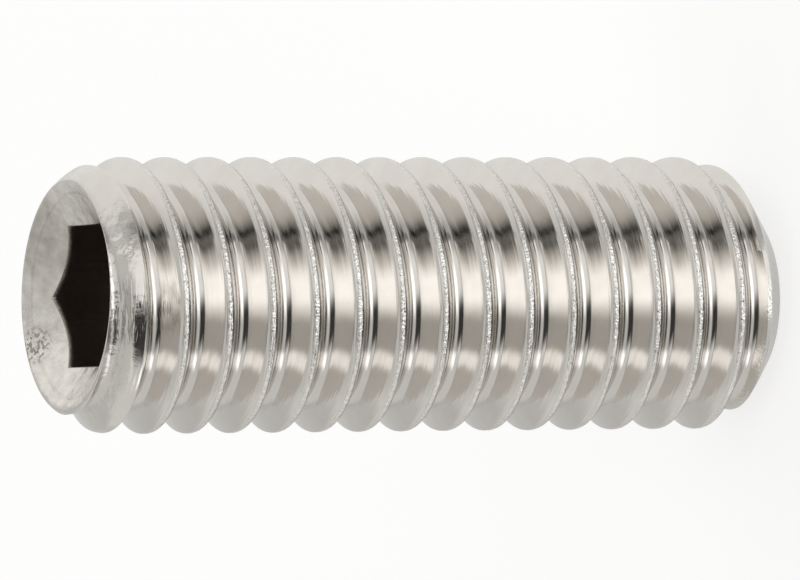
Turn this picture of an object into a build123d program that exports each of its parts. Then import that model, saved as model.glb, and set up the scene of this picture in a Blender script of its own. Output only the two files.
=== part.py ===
"""Headless screw with a hexagon socket in one end and a flat point at the other.

A rolled thread runs over its whole length and fades out on the chamfers at both
ends. The screw is one solid. It stands on its flat point: the origin is the
centre of that face, Z is the screw's axis, and the socket opens upwards.
Lengths are in millimetres and angles in degrees.
"""

from build123d import *

import os
from math import cos, radians, sin, sqrt, tan

# Overall sizes
length = 16.0
crest_diameter = 5.91

# Thread: an axial section of the groove between two crests
pitch = 1.0
flank_angle = 30.0  # each flank, from a plane square to the axis
crest_land = 0.125  # flat left on top between two grooves
groove_depth = 0.575
crest_height = 0.69  # the lowest crest's middle, where it crosses the XZ plane at +X

# Flat point
point_diameter = 4.0
point_chamfer_angle = 45.0  # from the axis
point_edge_radius = 0.08

# Socket end: chamfer outside, narrow lip, countersink, hexagon, drilled floor
end_diameter = 4.96  # where the chamfer meets the end face
end_chamfer_angle = 30.0  # from the axis
lip_width = 0.08
lip_outer_radius = 0.06
lip_inner_radius = 0.06
countersink_angle = 110.0  # between opposite sides
socket_across_flats = 3.0
socket_depth = 3.5  # end face to the bottom of the flats
drill_point_angle = 118.0  # between opposite sides
drill_point_inset = 0.06  # from the flats to the rim of the drill point

# The bar and the cutters stand this far clear of what they cut
clearance = 0.5

# Worked out from the sizes above
crest_radius = crest_diameter / 2
root_radius = crest_radius - groove_depth
point_radius = point_diameter / 2
end_radius = end_diameter / 2
countersink_radius = end_radius - lip_width
drill_point_radius = socket_across_flats / 2 - drill_point_inset
socket_corner_radius = socket_across_flats / sqrt(3)

# The groove starts and ends more than a pitch outside the finished screw
groove_turns = int(length / pitch) + 4
groove_start = crest_height - 2.5 * pitch

os.makedirs("parts", exist_ok=True)


def slope(angle):
    """Distance along the axis for each millimetre of radius, on a cone at that angle to it."""
    return 1 / tan(radians(angle))


def groove_section():
    """Groove in axial section as a face, from below its rounded bottom to just outside the crests.

    Its flanks are carried on past the crests, and stop where two neighbouring
    turns of the groove would still stand apart.
    """
    rise = tan(radians(flank_angle))
    overshoot = crest_land / rise / 4
    half_mouth = (pitch - crest_land) / 2 + overshoot * rise
    half_floor = (pitch - crest_land) / 2 - groove_depth * rise
    # the arc that touches both flanks and the bottom of the groove
    floor_radius = half_floor * cos(radians(flank_angle)) / (1 - sin(radians(flank_angle)))
    tangent_r = root_radius + floor_radius * (1 - sin(radians(flank_angle)))
    tangent_z = floor_radius * cos(radians(flank_angle))
    mouth_r = crest_radius + overshoot
    # the plane faces the way the groove runs, from +X towards +Y
    section_plane = Plane(origin=(0, 0, groove_start), x_dir=(1, 0, 0), z_dir=(0, 1, 0))
    with BuildSketch(section_plane) as section:
        with BuildLine():
            first_flank = Line((mouth_r, -half_mouth), (tangent_r, -tangent_z))
            bottom = ThreePointArc(first_flank @ 1, (root_radius, 0), (tangent_r, tangent_z))
            other_flank = Line(bottom @ 1, (mouth_r, half_mouth))
            Line(other_flank @ 1, first_flank @ 0)
        make_face()
    return section.sketch


with BuildPart() as set_screw:
    # Bar of crest diameter, longer than the groove by a pitch and the clearance at each end
    with BuildSketch(Plane.XY.offset(groove_start - pitch - clearance)):
        Circle(crest_radius)
    extrude(amount=(groove_turns + 2) * pitch + 2 * clearance)

    # Thread groove
    with BuildLine() as groove_path:
        Helix(
            pitch=pitch,
            height=groove_turns * pitch,
            radius=crest_radius,
            center=(0, 0, groove_start),
        )
    sweep(
        sections=groove_section(),
        path=groove_path.line,
        is_frenet=True,
        mode=Mode.SUBTRACT,
    )

    # Both ends: the bar is kept inside a body turned to their outline, countersink included.
    # That body stands clear of the crests between the two chamfers.
    outside_radius = crest_radius + clearance
    point_rise = (outside_radius - point_radius) * slope(point_chamfer_angle)
    end_fall = (outside_radius - end_radius) * slope(end_chamfer_angle)
    countersink_depth = countersink_radius * slope(countersink_angle / 2)
    with BuildSketch(Plane.XZ) as ends_outline:
        with BuildLine():
            Polyline(
                (0, 0),
                (point_radius, 0),
                (outside_radius, point_rise),
                (outside_radius, length - end_fall),
                (end_radius, length),
                (countersink_radius, length),
                (0, length - countersink_depth),
                close=True,
            )
        make_face()
        for corner, corner_radius in (
            ((point_radius, 0), point_edge_radius),
            ((end_radius, length), lip_outer_radius),
            ((countersink_radius, length), lip_inner_radius),
        ):
            fillet(ends_outline.vertices().sort_by_distance(corner)[0], corner_radius)
    revolve(axis=Axis.Z, mode=Mode.INTERSECT)

    # Hexagon socket, with the drill point left at its bottom
    socket_floor = length - socket_depth
    with BuildSketch(Plane.XY.offset(length)):
        RegularPolygon(socket_corner_radius, 6, rotation=90)
    extrude(amount=-socket_depth, mode=Mode.SUBTRACT)
    with BuildSketch(Plane.XZ):
        with BuildLine():
            Polyline(
                (0, socket_floor + clearance),
                (drill_point_radius, socket_floor + clearance),
                (drill_point_radius, socket_floor),
                (0, socket_floor - drill_point_radius * slope(drill_point_angle / 2)),
                close=True,
            )
        make_face()
    revolve(axis=Axis.Z, mode=Mode.SUBTRACT)

set_screw.part.label = "set_screw"
export_step(set_screw.part, "parts/set_screw.step")
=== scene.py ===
"""Looks of the set screw: detailed thread and socket in bright stainless steel, on a pale floor.

The screw stands on its point, and the camera is turned on its side, so that the
screw lies across the picture with its socket at the left. Sizes of the screw are in
millimetres and become metres only where its mesh and the scene are made.
"""

from math import atan, cos, pi, radians, sin, tan

import bmesh
import bpy
import numpy as np
from mathutils import Matrix, Vector


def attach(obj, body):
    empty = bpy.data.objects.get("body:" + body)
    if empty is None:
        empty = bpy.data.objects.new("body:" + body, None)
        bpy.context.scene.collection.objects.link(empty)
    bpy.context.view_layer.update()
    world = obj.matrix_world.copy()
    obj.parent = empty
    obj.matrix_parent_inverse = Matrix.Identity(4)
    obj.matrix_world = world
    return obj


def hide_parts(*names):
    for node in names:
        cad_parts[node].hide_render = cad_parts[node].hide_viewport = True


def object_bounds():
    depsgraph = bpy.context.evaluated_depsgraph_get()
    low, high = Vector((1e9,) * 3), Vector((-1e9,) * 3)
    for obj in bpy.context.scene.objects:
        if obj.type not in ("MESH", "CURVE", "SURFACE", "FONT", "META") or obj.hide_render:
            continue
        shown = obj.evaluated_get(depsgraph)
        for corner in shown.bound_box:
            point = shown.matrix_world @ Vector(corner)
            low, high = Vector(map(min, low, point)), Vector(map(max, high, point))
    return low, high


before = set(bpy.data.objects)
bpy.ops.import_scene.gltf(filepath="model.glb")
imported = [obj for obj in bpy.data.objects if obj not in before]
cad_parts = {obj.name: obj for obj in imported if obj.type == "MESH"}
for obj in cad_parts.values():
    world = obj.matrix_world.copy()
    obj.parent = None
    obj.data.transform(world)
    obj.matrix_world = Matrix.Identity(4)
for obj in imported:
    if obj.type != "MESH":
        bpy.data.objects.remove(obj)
cad_low, cad_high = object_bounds()

MM = 0.001

# The screw's size, from the frame
length = (cad_high.z - cad_low.z) / MM
crest_radius = (cad_high.x - cad_low.x) / 2 / MM

# Thread, as in the CAD part
pitch = 1.0
flank_angle = radians(30)
flank_rise = tan(flank_angle)  # along the axis, for each millimetre of radius
crest_land = 0.125
groove_depth = 0.575
crest_height = 0.69  # the lowest crest's middle, where it crosses the XZ plane at +X
root_radius = crest_radius - groove_depth
half_floor = (pitch - crest_land) / 2 - groove_depth * flank_rise
floor_radius = half_floor * cos(flank_angle) / (1 - sin(flank_angle))

crest_round = 0.105  # radius of the rolled crest
flank_bulge = 0.010  # how far the flanks swell between crest and root

# Socket end
rim_radius = 2.42  # highest ring of the rim
rim_outer_round = 0.10
rim_tilt = 0.10  # how much lower the end face is at +X than at -X
rim_inner_round = 0.20
end_slope = 0.75  # radius gained for each millimetre down from the end face
countersink_slope = radians(35)  # down from the end face, inwards
socket_half_flats = 1.5
socket_depth = 3.5
drill_point_radius = 1.44
drill_point_depth = drill_point_radius / tan(radians(59))

# Flat point
point_radius = 1.83
point_slope = 1.29  # radius gained for each millimetre up from the face
point_round = 0.08
point_off_centre = Vector((-0.13, -0.05))  # where the point's chamfer has its centre
point_tilt = 0.03  # how much higher the point's face is at -Y than at +Y

# Where the chamfers turn over, and the socket chamfer's radius carried on to the end face
rim_turn = pi / 2 - atan(end_slope)
end_radius = rim_radius + rim_outer_round * (sin(rim_turn) - end_slope * (1 - cos(rim_turn)))
point_turn = pi / 2 - atan(point_slope)

# Widths over which neighbouring surfaces are rounded into each other
socket_fade = 0.4
point_fade = 0.22
edge_blend = 0.05

# The thread's grid: columns round the axis, and rows at these distances from each crest
columns = 204
row_offsets = (0.018, 0.036, 0.058, 0.078, 0.10, 0.16, 0.25, 0.325, 0.355, 0.39, 0.425, 0.462)

# Wear of the rolled crests: a shallow seam of uneven depth, and lips that wander along the axis
wear_seed = 16
fine_wear = 0.45
broad_wear = 1.3
broad_wear_columns = 7
least_wear = -0.5
most_wear = 1.6
seam_depth = 0.003
seam_wear_depth = 0.006
seam_half_width = 0.045
lip_shift = 0.010
lip_half_width = 0.085
wear_fade_radius = crest_radius - 0.12  # no wear here and inwards, where an end cuts the crest away
wear_fade_width = 0.10

# Rings that round the rim, the countersink's edge and the point's edge
rim_rings = 6
countersink_rings = 5
point_rings = 5

sharp_angle = radians(38)  # edges sharper than this are shaded as edges, such as the hexagon's


def soft_min(a, b, width):
    """Smaller of two values, rounded off where they are within that width of each other."""
    near = np.maximum(width - np.abs(a - b), 0) / width
    return np.minimum(a, b) - near * near * width / 4


def groove_radius(offset):
    """Thread's radius at a distance along the axis from the nearest crest's middle."""
    t = np.abs(offset)
    along = np.clip((t - crest_land / 2) / (groove_depth * flank_rise), 0, 1)
    flank = crest_radius - (t - crest_land / 2) / flank_rise + flank_bulge * np.sin(pi * along)
    crest = crest_radius - crest_round + np.sqrt(np.maximum(crest_round**2 - t * t, 0))
    on_crest = t < crest_round * cos(flank_angle)
    floor_reach = floor_radius * cos(flank_angle)
    from_root = np.clip(pitch / 2 - t, 0, floor_reach)
    floor = root_radius + floor_radius - np.sqrt(floor_radius**2 - from_root**2)
    in_floor = pitch / 2 - t < floor_reach
    return np.where(in_floor, floor, np.where(on_crest, crest, flank))


def point_shift(angle):
    """How much further out the point's chamfer is at an angle, for being off centre."""
    return point_off_centre.x * np.cos(angle) + point_off_centre.y * np.sin(angle)


def ends_radius(angle, z):
    """Radius of the smooth body that the thread fades into at the two ends."""
    from_socket = end_radius + end_slope * (length - z)
    from_point = point_radius + point_slope * z + point_shift(angle)
    bar = np.full_like(z, crest_radius)
    return soft_min(soft_min(bar, from_socket, socket_fade), from_point, point_fade)


def offset_from_crest(angle, z):
    """Signed distance along the axis from the nearest crest's middle."""
    turns = (z - crest_height) / pitch - angle / (2 * pi)
    return (turns - np.round(turns)) * pitch


def body_radius(angle, z):
    """Radius of the threaded screw, with the thread fading into its ends."""
    return soft_min(groove_radius(offset_from_crest(angle, z)), ends_radius(angle, z), edge_blend)


def crest_wear(turn, column, turns):
    """Uneven seam and lips of the rolled crest, one value each for every column of every turn."""
    count = turns * columns
    fine = rng.normal(size=(2, count))
    average = np.ones(broad_wear_columns) / broad_wear_columns
    broad = np.stack([np.convolve(rng.normal(size=count), average, "same") for _ in range(2)])
    wander = (fine * fine_wear + broad * broad_wear).clip(-most_wear, most_wear)
    place = np.clip(turn * columns + column, 0, count - 1)
    return wander[0][place], wander[1][place]


def helical_grid():
    """Vertices and faces of the threaded surface, its rows following the helix, past both ends."""
    rows_of_turn = np.array([-t for t in reversed(row_offsets)] + [0, *row_offsets, pitch / 2])
    per_turn = len(rows_of_turn)
    first = int(np.floor(-crest_height / pitch)) - 2
    last = int(np.ceil((length - crest_height) / pitch)) + 1
    turns = last - first + 1
    place = np.concatenate([first + k + rows_of_turn / pitch for k in range(turns)])
    angle, place_along = np.meshgrid(np.arange(columns) * 2 * pi / columns, place, indexing="ij")
    z = crest_height + pitch * (place_along + angle / (2 * pi))
    from_crest = np.abs(offset_from_crest(angle, z))
    radius = body_radius(angle, z)
    turn = np.broadcast_to(np.repeat(np.arange(turns), per_turn), z.shape)
    column = np.broadcast_to(np.arange(columns)[:, None], z.shape)
    inwards, along = crest_wear(turn, column, turns)
    seam = np.clip(1 - from_crest / seam_half_width, 0, 1)
    lip = np.clip(1 - from_crest / lip_half_width, 0, 1)
    whole_crest = np.clip((radius - wear_fade_radius) / wear_fade_width, 0, 1)
    deeper = seam_wear_depth * np.maximum(inwards, least_wear)
    radius = radius - (seam_depth + deeper) * seam * whole_crest
    z = z + lip_shift * along * lip * whole_crest
    points = np.stack([radius * np.cos(angle), radius * np.sin(angle), z], axis=-1).reshape(-1, 3)
    rows = len(place)
    faces = []
    for i in range(columns):
        wraps = i == columns - 1
        here, there = i * rows, 0 if wraps else (i + 1) * rows
        shift = per_turn if wraps else 0
        for j in range(rows - 1 - shift):
            faces.append((here + j, there + j + shift, there + j + shift + 1, here + j + 1))
    return points, faces


def angle_of(vertex):
    return np.arctan2(vertex.co.y, vertex.co.x)


def cut_ring(bm, z, keep_below):
    """Cuts the surface square to the axis and gives the cut's vertices in order of angle."""
    cut = bmesh.ops.bisect_plane(
        bm,
        geom=bm.verts[:] + bm.edges[:] + bm.faces[:],
        dist=1e-6,
        plane_co=(0, 0, z),
        plane_no=(0, 0, 1 if keep_below else -1),
        clear_outer=True,
    )
    ring = {v for e in cut["geom_cut"] if isinstance(e, bmesh.types.BMEdge) for v in e.verts}
    return sorted(ring, key=angle_of)


def add_ring(bm, ring, radii, heights, flip, material):
    """A new ring at the same angles, joined to the last one by a band of faces."""
    new = []
    for vertex, radius, z in zip(ring, radii, np.broadcast_to(heights, len(ring))):
        angle = angle_of(vertex)
        new.append(bm.verts.new((radius * cos(angle), radius * sin(angle), z)))
    for k in range(len(ring)):
        n = (k + 1) % len(ring)
        quad = [ring[k], ring[n], new[n], new[k]]
        face = bm.faces.new(quad[::-1] if flip else quad)
        face.material_index = material
    return new


def close_ring(bm, ring, z, flip, material):
    """Faces from the last ring to a point on the axis."""
    tip = bm.verts.new((0, 0, z))
    for k in range(len(ring)):
        n = (k + 1) % len(ring)
        corner = [ring[k], ring[n], tip]
        face = bm.faces.new(corner[::-1] if flip else corner)
        face.material_index = material


# Order of the materials on the mesh
STEEL, COUNTERSINK, SOCKET = range(3)


def socket_end(bm):
    """Rounded rim, countersink, hexagon socket and its drilled floor."""
    ring = cut_ring(bm, length - rim_outer_round * (1 - cos(rim_turn)), True)
    angle = np.array([angle_of(vertex) for vertex in ring])

    def add(radii, depth, material):
        nonlocal ring
        ring = add_ring(bm, ring, radii + 0 * angle, length - depth, False, material)

    for k in reversed(range(rim_rings)):
        turn = rim_turn * k / rim_rings
        depth = rim_outer_round * (1 - cos(turn))
        thread = groove_radius(offset_from_crest(angle, length - depth))
        add(soft_min(rim_radius + rim_outer_round * sin(turn), thread, edge_blend), depth, STEEL)
    for k in range(1, countersink_rings + 1):
        turn = countersink_slope * k / countersink_rings
        add(rim_radius - rim_inner_round * sin(turn), rim_inner_round * (1 - cos(turn)), COUNTERSINK)

    mouth = rim_radius - rim_inner_round * sin(countersink_slope)
    mouth_depth = rim_inner_round * (1 - cos(countersink_slope))
    from_flat = np.abs((angle + pi / 6) % (pi / 3) - pi / 6)
    hexagon = socket_half_flats / np.cos(from_flat)
    edge = 0.02  # bevel between the countersink and the socket's flats
    for part in (0.2, 0.4, 0.6, 0.8, 0.93, 1.0):
        radii = mouth + (hexagon + edge - mouth) * part
        add(radii, mouth_depth + (mouth - radii) * tan(countersink_slope), COUNTERSINK)
    wall_top = mouth_depth + (mouth - hexagon - edge) * tan(countersink_slope) + edge
    add(hexagon + edge * 0.3, wall_top - edge * 0.5, SOCKET)
    for part in (0.0, 0.05, 0.15, 0.3, 0.5, 0.75, 1.0):
        add(hexagon, wall_top + (socket_depth - wall_top) * part, SOCKET)
    for part in (1.0, 0.75, 0.5, 0.25):
        add(drill_point_radius * part, socket_depth + drill_point_depth * (1 - part), SOCKET)
    close_ring(bm, ring, length - socket_depth - drill_point_depth, False, SOCKET)


def point_end(bm):
    """Turned-over edge of the point's chamfer, and its flat face."""
    ring = cut_ring(bm, point_round * (1 - cos(point_turn)), False)
    angle = np.array([angle_of(vertex) for vertex in ring])
    widening = point_slope * (1 - cos(point_turn)) - sin(point_turn)
    edge = point_radius + point_round * widening + point_shift(angle)
    for k in reversed(range(point_rings)):
        turn = point_turn * k / point_rings
        height = point_round * (1 - cos(turn))
        ring = add_ring(bm, ring, edge + point_round * sin(turn), height, True, STEEL)
    for part in (0.85, 0.65, 0.45, 0.25, 0.1):
        ring = add_ring(bm, ring, edge * part, 0, True, STEEL)
    close_ring(bm, ring, 0, True, STEEL)


def tilt_ends(bm):
    """Leans both end faces a little, as cut, by bending the last millimetre at each end."""
    for vertex in bm.verts:
        place = vertex.co
        near_socket = min(max(place.z - length + 1, 0), 1)
        near_point = min(max(1 - place.z, 0), 1)
        place.z -= rim_tilt * near_socket * min(max(0.5 + place.x / rim_radius / 2, 0), 1)
        place.z += point_tilt * near_point * min(max(0.5 - place.y / point_radius / 2, 0), 1)


def make_screw():
    points, faces = helical_grid()
    grid = bpy.data.meshes.new("thread_grid")
    grid.from_pydata(points.tolist(), [], faces)
    bm = bmesh.new()
    bm.from_mesh(grid)
    bpy.data.meshes.remove(grid)
    socket_end(bm)
    point_end(bm)
    tilt_ends(bm)
    bmesh.ops.scale(bm, vec=(MM, MM, MM), verts=bm.verts[:])
    mesh = bpy.data.meshes.new("screw")
    bm.to_mesh(mesh)
    bm.free()
    mesh.shade_smooth()
    mesh.set_sharp_from_angle(angle=sharp_angle)
    screw = bpy.data.objects.new("screw", mesh)
    bpy.context.scene.collection.objects.link(screw)
    return screw


rng = np.random.default_rng(wear_seed)
screw = make_screw()
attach(screw, "root")
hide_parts("set_screw")


class Nodes:
    """Short calls for the node trees of the materials and the world."""

    def __init__(self, tree):
        self.tree = tree

    def new(self, kind, **settings):
        node = self.tree.nodes.new(kind)
        for name, value in settings.items():
            setattr(node, name, value)
        return node

    def link(self, source, socket):
        if isinstance(source, bpy.types.NodeSocket):
            self.tree.links.new(source, socket)
        else:
            socket.default_value = source

    def math(self, operation, *values, clamp=False):
        node = self.new("ShaderNodeMath", operation=operation, use_clamp=clamp)
        for socket, value in zip(node.inputs, values):
            self.link(value, socket)
        return node.outputs[0]

    def step(self, value, start, end):
        """0 up to start, 1 from end, and a smooth rise between them."""
        node = self.new("ShaderNodeMapRange", interpolation_type="SMOOTHSTEP")
        for socket, given in zip(node.inputs, (value, start, end, 0.0, 1.0)):
            self.link(given, socket)
        return node.outputs[0]

    def band(self, value, middle, half_width, soft):
        """1 within half_width of the middle, 0 beyond half_width + soft."""
        away = self.math("ABSOLUTE", self.math("SUBTRACT", value, middle))
        return self.math("SUBTRACT", 1.0, self.step(away, half_width, half_width + soft))

    def mix(self, factor, a, b):
        node = self.new("ShaderNodeMix", data_type="RGBA")
        for socket, value in zip((node.inputs[0], node.inputs[6], node.inputs[7]), (factor, a, b)):
            self.link(value, socket)
        return node.outputs[2]


class Surface(Nodes):
    """A metal's node tree, with the place on the screw in millimetres."""

    def __init__(self, name):
        self.material = bpy.data.materials.new(name)
        self.material.use_nodes = True
        super().__init__(self.material.node_tree)
        self.shader = self.tree.nodes["Principled BSDF"]
        self.shader.inputs["Metallic"].default_value = 1.0
        scale = self.new("ShaderNodeVectorMath", operation="SCALE")
        self.link(self.new("ShaderNodeTexCoord").outputs["Object"], scale.inputs[0])
        scale.inputs["Scale"].default_value = 1 / MM
        self.place = scale.outputs[0]
        parts = self.new("ShaderNodeSeparateXYZ")
        self.link(self.place, parts.inputs[0])
        self.x, self.y, self.z = parts.outputs
        flat = self.vector(self.x, self.y, 0.0)
        size = self.new("ShaderNodeVectorMath", operation="LENGTH")
        self.link(flat, size.inputs[0])
        self.radius = size.outputs["Value"]
        self.cosine = self.math("DIVIDE", self.x, self.radius)
        self.sine = self.math("DIVIDE", self.y, self.radius)

    def vector(self, *values):
        node = self.new("ShaderNodeCombineXYZ")
        for socket, value in zip(node.inputs, values):
            self.link(value, socket)
        return node.outputs[0]

    def noise(self, scale, detail, place=None):
        """Noise about as coarse as 1 / scale millimetres, from 0 to 1."""
        node = self.new("ShaderNodeTexNoise", noise_dimensions="3D")
        self.link(place or self.place, node.inputs["Vector"])
        node.inputs["Scale"].default_value = scale
        node.inputs["Detail"].default_value = detail
        return node.outputs["Fac"]

    def streaks(self, across, along):
        """Noise drawn out round the axis: fine across the streaks, in 1 / mm, and long along them."""
        round_axis = self.vector(
            self.math("MULTIPLY", self.cosine, along),
            self.math("MULTIPLY", self.sine, along),
            self.math("MULTIPLY", self.z, 0.35),
        )
        node = self.new("ShaderNodeTexNoise", noise_dimensions="4D")
        self.link(round_axis, node.inputs["Vector"])
        self.link(self.math("MULTIPLY", self.radius, across), node.inputs["W"])
        node.inputs["Scale"].default_value = 1.0
        node.inputs["Detail"].default_value = 2.0
        return node.outputs["Fac"]

    def spot(self, place, size):
        """1 at a place in millimetres, falling to 0 at that distance from it."""
        away = self.new("ShaderNodeVectorMath", operation="DISTANCE")
        self.link(self.place, away.inputs[0])
        away.inputs[1].default_value = place
        return self.math("SUBTRACT", 1.0, self.step(away.outputs["Value"], size * 0.25, size))

    def total(self, *terms):
        """Sum of (value, weight) pairs, where 1.0 as the weight adds a plain number."""
        result = 0.0
        for value, weight in terms:
            result = self.math("MULTIPLY_ADD", value, weight, result)
        return result

    def bump(self, height):
        """Relief in millimetres."""
        node = self.new("ShaderNodeBump")
        node.inputs["Strength"].default_value = 1.0
        node.inputs["Distance"].default_value = MM
        self.link(height, node.inputs["Height"])
        self.link(node.outputs[0], self.shader.inputs["Normal"])

    def roughness(self, value):
        self.link(value, self.shader.inputs["Roughness"])

    def tint(self, factor, dark, light):
        """Base colour between two colours."""
        self.link(self.mix(factor, (*dark, 1), (*light, 1)), self.shader.inputs["Base Color"])


def on_thread(angle, z, radius):
    """A place on the thread, from its angle round the axis in degrees (-90 faces the camera)."""
    return (radius * cos(radians(angle)), radius * sin(radians(angle)), z)


# Nicks in the thread: where, and how wide
nicks_on_thread = (
    (on_thread(-68, 15.72, 2.62), 0.20),
    (on_thread(-72, 15.60, 2.70), 0.14),
    (on_thread(-62, 15.76, 2.59), 0.15),
    (on_thread(-106, 15.1, 2.8), 0.12),
    (on_thread(-127, 0.95, 2.75), 0.09),
    (on_thread(20, 9.3, 2.9), 0.12),
    (on_thread(140, 4.4, 2.9), 0.14),
)
scuffed_place = on_thread(-99, 15.45, 2.7)
scuffed_size = 1.0

# Marks on the countersink, and where a darker patch of painted shade lies on it
pitted_place = (-1.05, 1.98, length - 0.2)
pitted_size = 0.55
painted_shade_place = (1.3, 1.6, length - 0.2)
painted_shade_size = 1.4
tool_ring_radius = 2.17


def thread_steel():
    """Rolled thread: bright flanks with fine streaks round the axis, a rough line along each crest,
    lightened there as a painted highlight, and painted shade darkening the roots.
    """
    s = Surface("thread_steel")
    crest = s.step(s.radius, crest_radius - 0.032, crest_radius - 0.010)
    crest_side = s.step(s.radius, crest_radius - 0.06, crest_radius - 0.02)
    worn_end = s.step(s.z, length - 0.75, length - 0.35)
    worn_point = s.math("SUBTRACT", 1.0, s.step(s.z, 0.5, 0.8))
    streak = s.streaks(14.0, 1.6)
    fine_streak = s.streaks(38.0, 3.0)
    waves = s.noise(1.1, 1.0)
    speckle = s.noise(17.0, 2.0)
    scuff = s.noise(5.0, 3.0)
    nicks = 0.0
    for place, size in nicks_on_thread:
        nicks = s.math("ADD", nicks, s.spot(place, size))
    scratches = s.step(s.streaks(24.0, 4.0), 0.44, 0.60)
    scuffed = s.math("MULTIPLY", scratches, s.spot(scuffed_place, scuffed_size))
    s.bump(s.total(
        (streak, 0.0048),
        (fine_streak, 0.0019),
        (waves, 0.006),
        (s.math("MULTIPLY", speckle, crest), 0.048),
        (s.math("MULTIPLY", scuff, worn_end), 0.030),
        (s.math("MULTIPLY", speckle, worn_point), 0.016),
        (nicks, -0.030),
        (scuffed, -0.008),
    ))
    s.roughness(s.total(
        (streak, 0.10),
        (s.noise(3.0, 3.0), 0.08),
        (crest, 0.02),
        (crest_side, 0.08),
        (worn_end, 0.12),
        (0.02, 1.0),
    ))
    # Painted shade: the thread's colour darkens towards its roots.
    painted_root_shade = s.math("SUBTRACT", 1.0, s.step(s.radius, root_radius + 0.02, root_radius + 0.14))
    # Colour of the thread: its own uneven tone and darker scuffs, painted shade in the roots, and a
    # painted highlight that lightens each crest.
    stain_and_painted_light = s.total(
        (s.noise(2.2, 4.0), 0.35),
        (painted_root_shade, -0.25),
        (crest, 0.25),
        (scuffed, -1.6),
        (0.55, 1.0),
    )
    s.tint(stain_and_painted_light, (0.51, 0.485, 0.452), (0.74, 0.712, 0.676))
    return s.material


def countersink_steel():
    """Forged rim and countersink: duller, mottled, with a few pits, a faint ring left by the tool, and a
    patch of painted shade.
    """
    s = Surface("countersink_steel")
    mottle = s.noise(3.5, 4.0)
    grain = s.noise(22.0, 2.0)
    ring = s.band(s.radius, tool_ring_radius, 0.012, 0.03)
    pitted = s.spot(pitted_place, pitted_size)
    pits = s.math("MULTIPLY", s.step(s.noise(11.0, 1.0), 0.54, 0.62), pitted)
    s.bump(s.total((mottle, 0.05), (grain, 0.004), (ring, -0.006), (pits, -0.03)))
    s.roughness(s.total((mottle, 0.22), (pits, 0.2), (0.18, 1.0)))
    # Painted shade: a darker patch on the countersink.
    shade = s.spot(painted_shade_place, painted_shade_size)
    stain_and_painted_light = s.total((mottle, 1.3), (ring, -0.15), (pits, -1.5), (shade, -0.5), (0.15, 1.0))
    s.tint(stain_and_painted_light, (0.42, 0.39, 0.35), (0.78, 0.75, 0.71))
    return s.material


def socket_steel():
    """Inside of the socket: dark with oil, with the lines of the punch running down the flats."""
    s = Surface("socket_steel")
    s.roughness(0.24)
    lines = s.noise(14.0, 2.0, s.vector(s.x, s.y, s.math("MULTIPLY", s.z, 0.06)))
    s.bump(s.total((lines, 0.012), (s.noise(6.0, 3.0), 0.006)))
    s.tint(s.noise(2.0, 3.0), (0.28, 0.245, 0.22), (0.50, 0.45, 0.41))
    return s.material


for make in (thread_steel, countersink_steel, socket_steel):
    screw.data.materials.append(make())

# Camera: a long lens, looking down at the standing screw and turned on its side. The offsets
# move it across the picture, in millimetres.
lens = 557.7
distance = 265.70
look_down = radians(24.505)
look_aside = radians(-1.343)
twist = radians(-0.878)
aim_height = 7.986
offset_right = -0.176
offset_up = 0.090


def place_camera():
    ahead = cos(look_aside)
    forward = Vector((-sin(look_aside), cos(look_down) * ahead, -sin(look_down) * ahead))
    right = Vector((0, -sin(look_down), -cos(look_down)))
    up = right.cross(forward)
    right, up = cos(twist) * right + sin(twist) * up, cos(twist) * up - sin(twist) * right
    place = Vector((0, 0, aim_height)) - distance * forward + offset_right * right + offset_up * up
    turn = Matrix((right, up, -forward)).transposed().to_4x4()
    data = bpy.data.cameras.new("camera")
    data.lens = lens
    data.clip_start = 0.01
    data.clip_end = 20
    camera = bpy.data.objects.new("camera", data)
    camera.matrix_world = Matrix.Translation(place * MM) @ turn
    bpy.context.scene.collection.objects.link(camera)
    bpy.context.scene.camera = camera


place_camera()


floor_half_size = 1.5  # metres
floor_colour = (0.45, 0.45, 0.45)
floor_lift = 0.66  # light that only the camera sees


def make_floor():
    """Pale floor. What the camera sees of it is lifted to white, and the soft shadow stays."""
    signs = ((-1, -1), (1, -1), (1, 1), (-1, 1))
    corners = [(x * floor_half_size, y * floor_half_size, 0) for x, y in signs]
    mesh = bpy.data.meshes.new("floor")
    mesh.from_pydata(corners, [], [(0, 1, 2, 3)])
    floor = bpy.data.objects.new("floor", mesh)
    bpy.context.scene.collection.objects.link(floor)
    floor.visible_glossy = False  # the steel mirrors the studio's lower half instead
    material = bpy.data.materials.new("floor")
    material.use_nodes = True
    nodes = Nodes(material.node_tree)
    shader = material.node_tree.nodes["Principled BSDF"]
    shader.inputs["Base Color"].default_value = (*floor_colour, 1)
    shader.inputs["Roughness"].default_value = 0.9
    shader.inputs["Specular IOR Level"].default_value = 0.0
    rays = nodes.new("ShaderNodeLightPath").outputs
    seen = nodes.math("ADD", rays["Is Camera Ray"], rays["Is Glossy Ray"])
    seen = nodes.math("ADD", seen, rays["Is Transmission Ray"], clamp=True)
    shader.inputs["Emission Color"].default_value = (1, 1, 1, 1)
    nodes.link(nodes.math("MULTIPLY", seen, floor_lift), shader.inputs["Emission Strength"])
    mesh.materials.append(material)


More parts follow.
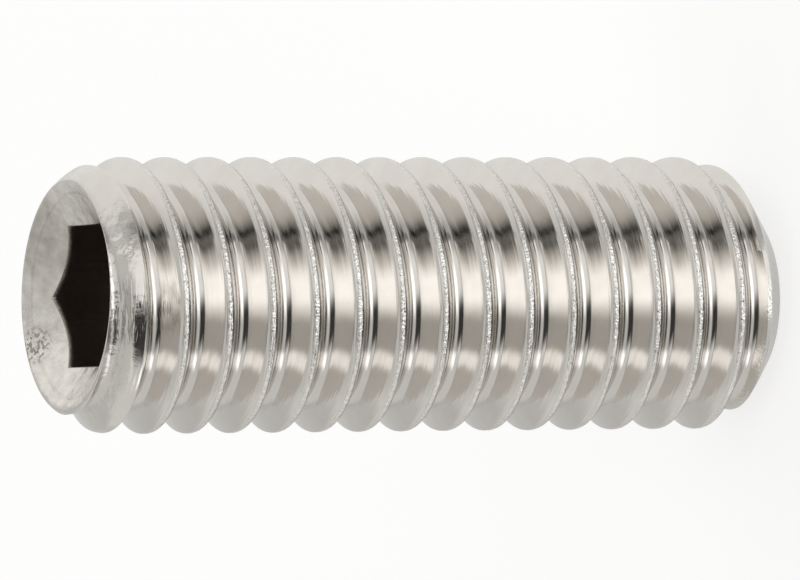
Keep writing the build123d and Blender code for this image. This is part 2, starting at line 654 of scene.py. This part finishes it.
# Studio: each panel is azimuth, elevation, half width, half height, soft edge (degrees), brightness.
# Azimuth is 0 towards the camera and grows towards +X, and a later panel covers an earlier one.
studio_tone = 0.68
back_start = 150  # degrees from the camera, where the walls begin to fade into the studio's tone
back_end = 178
studio_colour = (1.0, 1.0, 0.98)
window_colour = (0.98, 0.995, 1.02)
studio_panels = {
    "side_wall_left": (-125, -10, 40, 45, 12, 0.80),
    "side_edge_left": (-165, 0, 16, 60, 16, 0.62),
    "side_wall_right": (130, 0, 34, 45, 28, 0.99),
    "window_glow": (16, 15, 12, 34, 20, 1.12),
    "window": (4, -32, 8, 10, 29, 2.2),
    "frame_soft": (58, 15, 6, 40, 16, 0.56),
    "frame_foot": (58, -30, 5, 14, 16, 0.12),
    "dark_foot": (60, -25, 4, 4, 6, 0.0),
    "window_foot": (42, -10, 8, 6, 6, 1.3),
    "dark_frame": (56, -8, 2, 32, 4, 0.25),
    "strip_light": (-73, -16, 4, 14, 10, 1.75),
    "strip_light_top": (-74, 30, 6, 14, 9, 0.90),
    "camera_shade": (-35, 23, 12, 18, 20, 0.05),
}


def make_world():
    world = bpy.data.worlds.new("studio")
    bpy.context.scene.world = world
    world.use_nodes = True
    nodes = Nodes(world.node_tree)
    background = world.node_tree.nodes["Background"]
    direction = nodes.new("ShaderNodeSeparateXYZ")
    nodes.link(nodes.new("ShaderNodeTexCoord").outputs["Generated"], direction.inputs[0])
    x, y, z = direction.outputs
    azimuth = nodes.math("DEGREES", nodes.math("ARCTAN2", x, nodes.math("MULTIPLY", y, -1.0)))
    elevation = nodes.math("DEGREES", nodes.math("ARCSINE", z))
    light = studio_tone
    for around, up, half_width, half_height, soft, brightness in studio_panels.values():
        across = nodes.band(azimuth, around, half_width, soft)
        along = nodes.band(elevation, up, half_height, soft)
        mask = nodes.math("MULTIPLY", across, along)
        change = nodes.math("SUBTRACT", brightness, light)
        light = nodes.math("MULTIPLY_ADD", change, mask, light)
    behind = nodes.step(nodes.math("ABSOLUTE", azimuth), back_start, back_end)
    light = nodes.math("MULTIPLY_ADD", nodes.math("SUBTRACT", studio_tone, light), behind, light)
    bright = nodes.step(light, 0.9, 1.8)
    colour = nodes.mix(bright, (*studio_colour, 1), (*window_colour, 1))
    nodes.link(colour, background.inputs["Color"])
    nodes.link(light, background.inputs["Strength"])


make_floor()
make_world()

bpy.context.scene.view_settings.view_transform = "Standard"
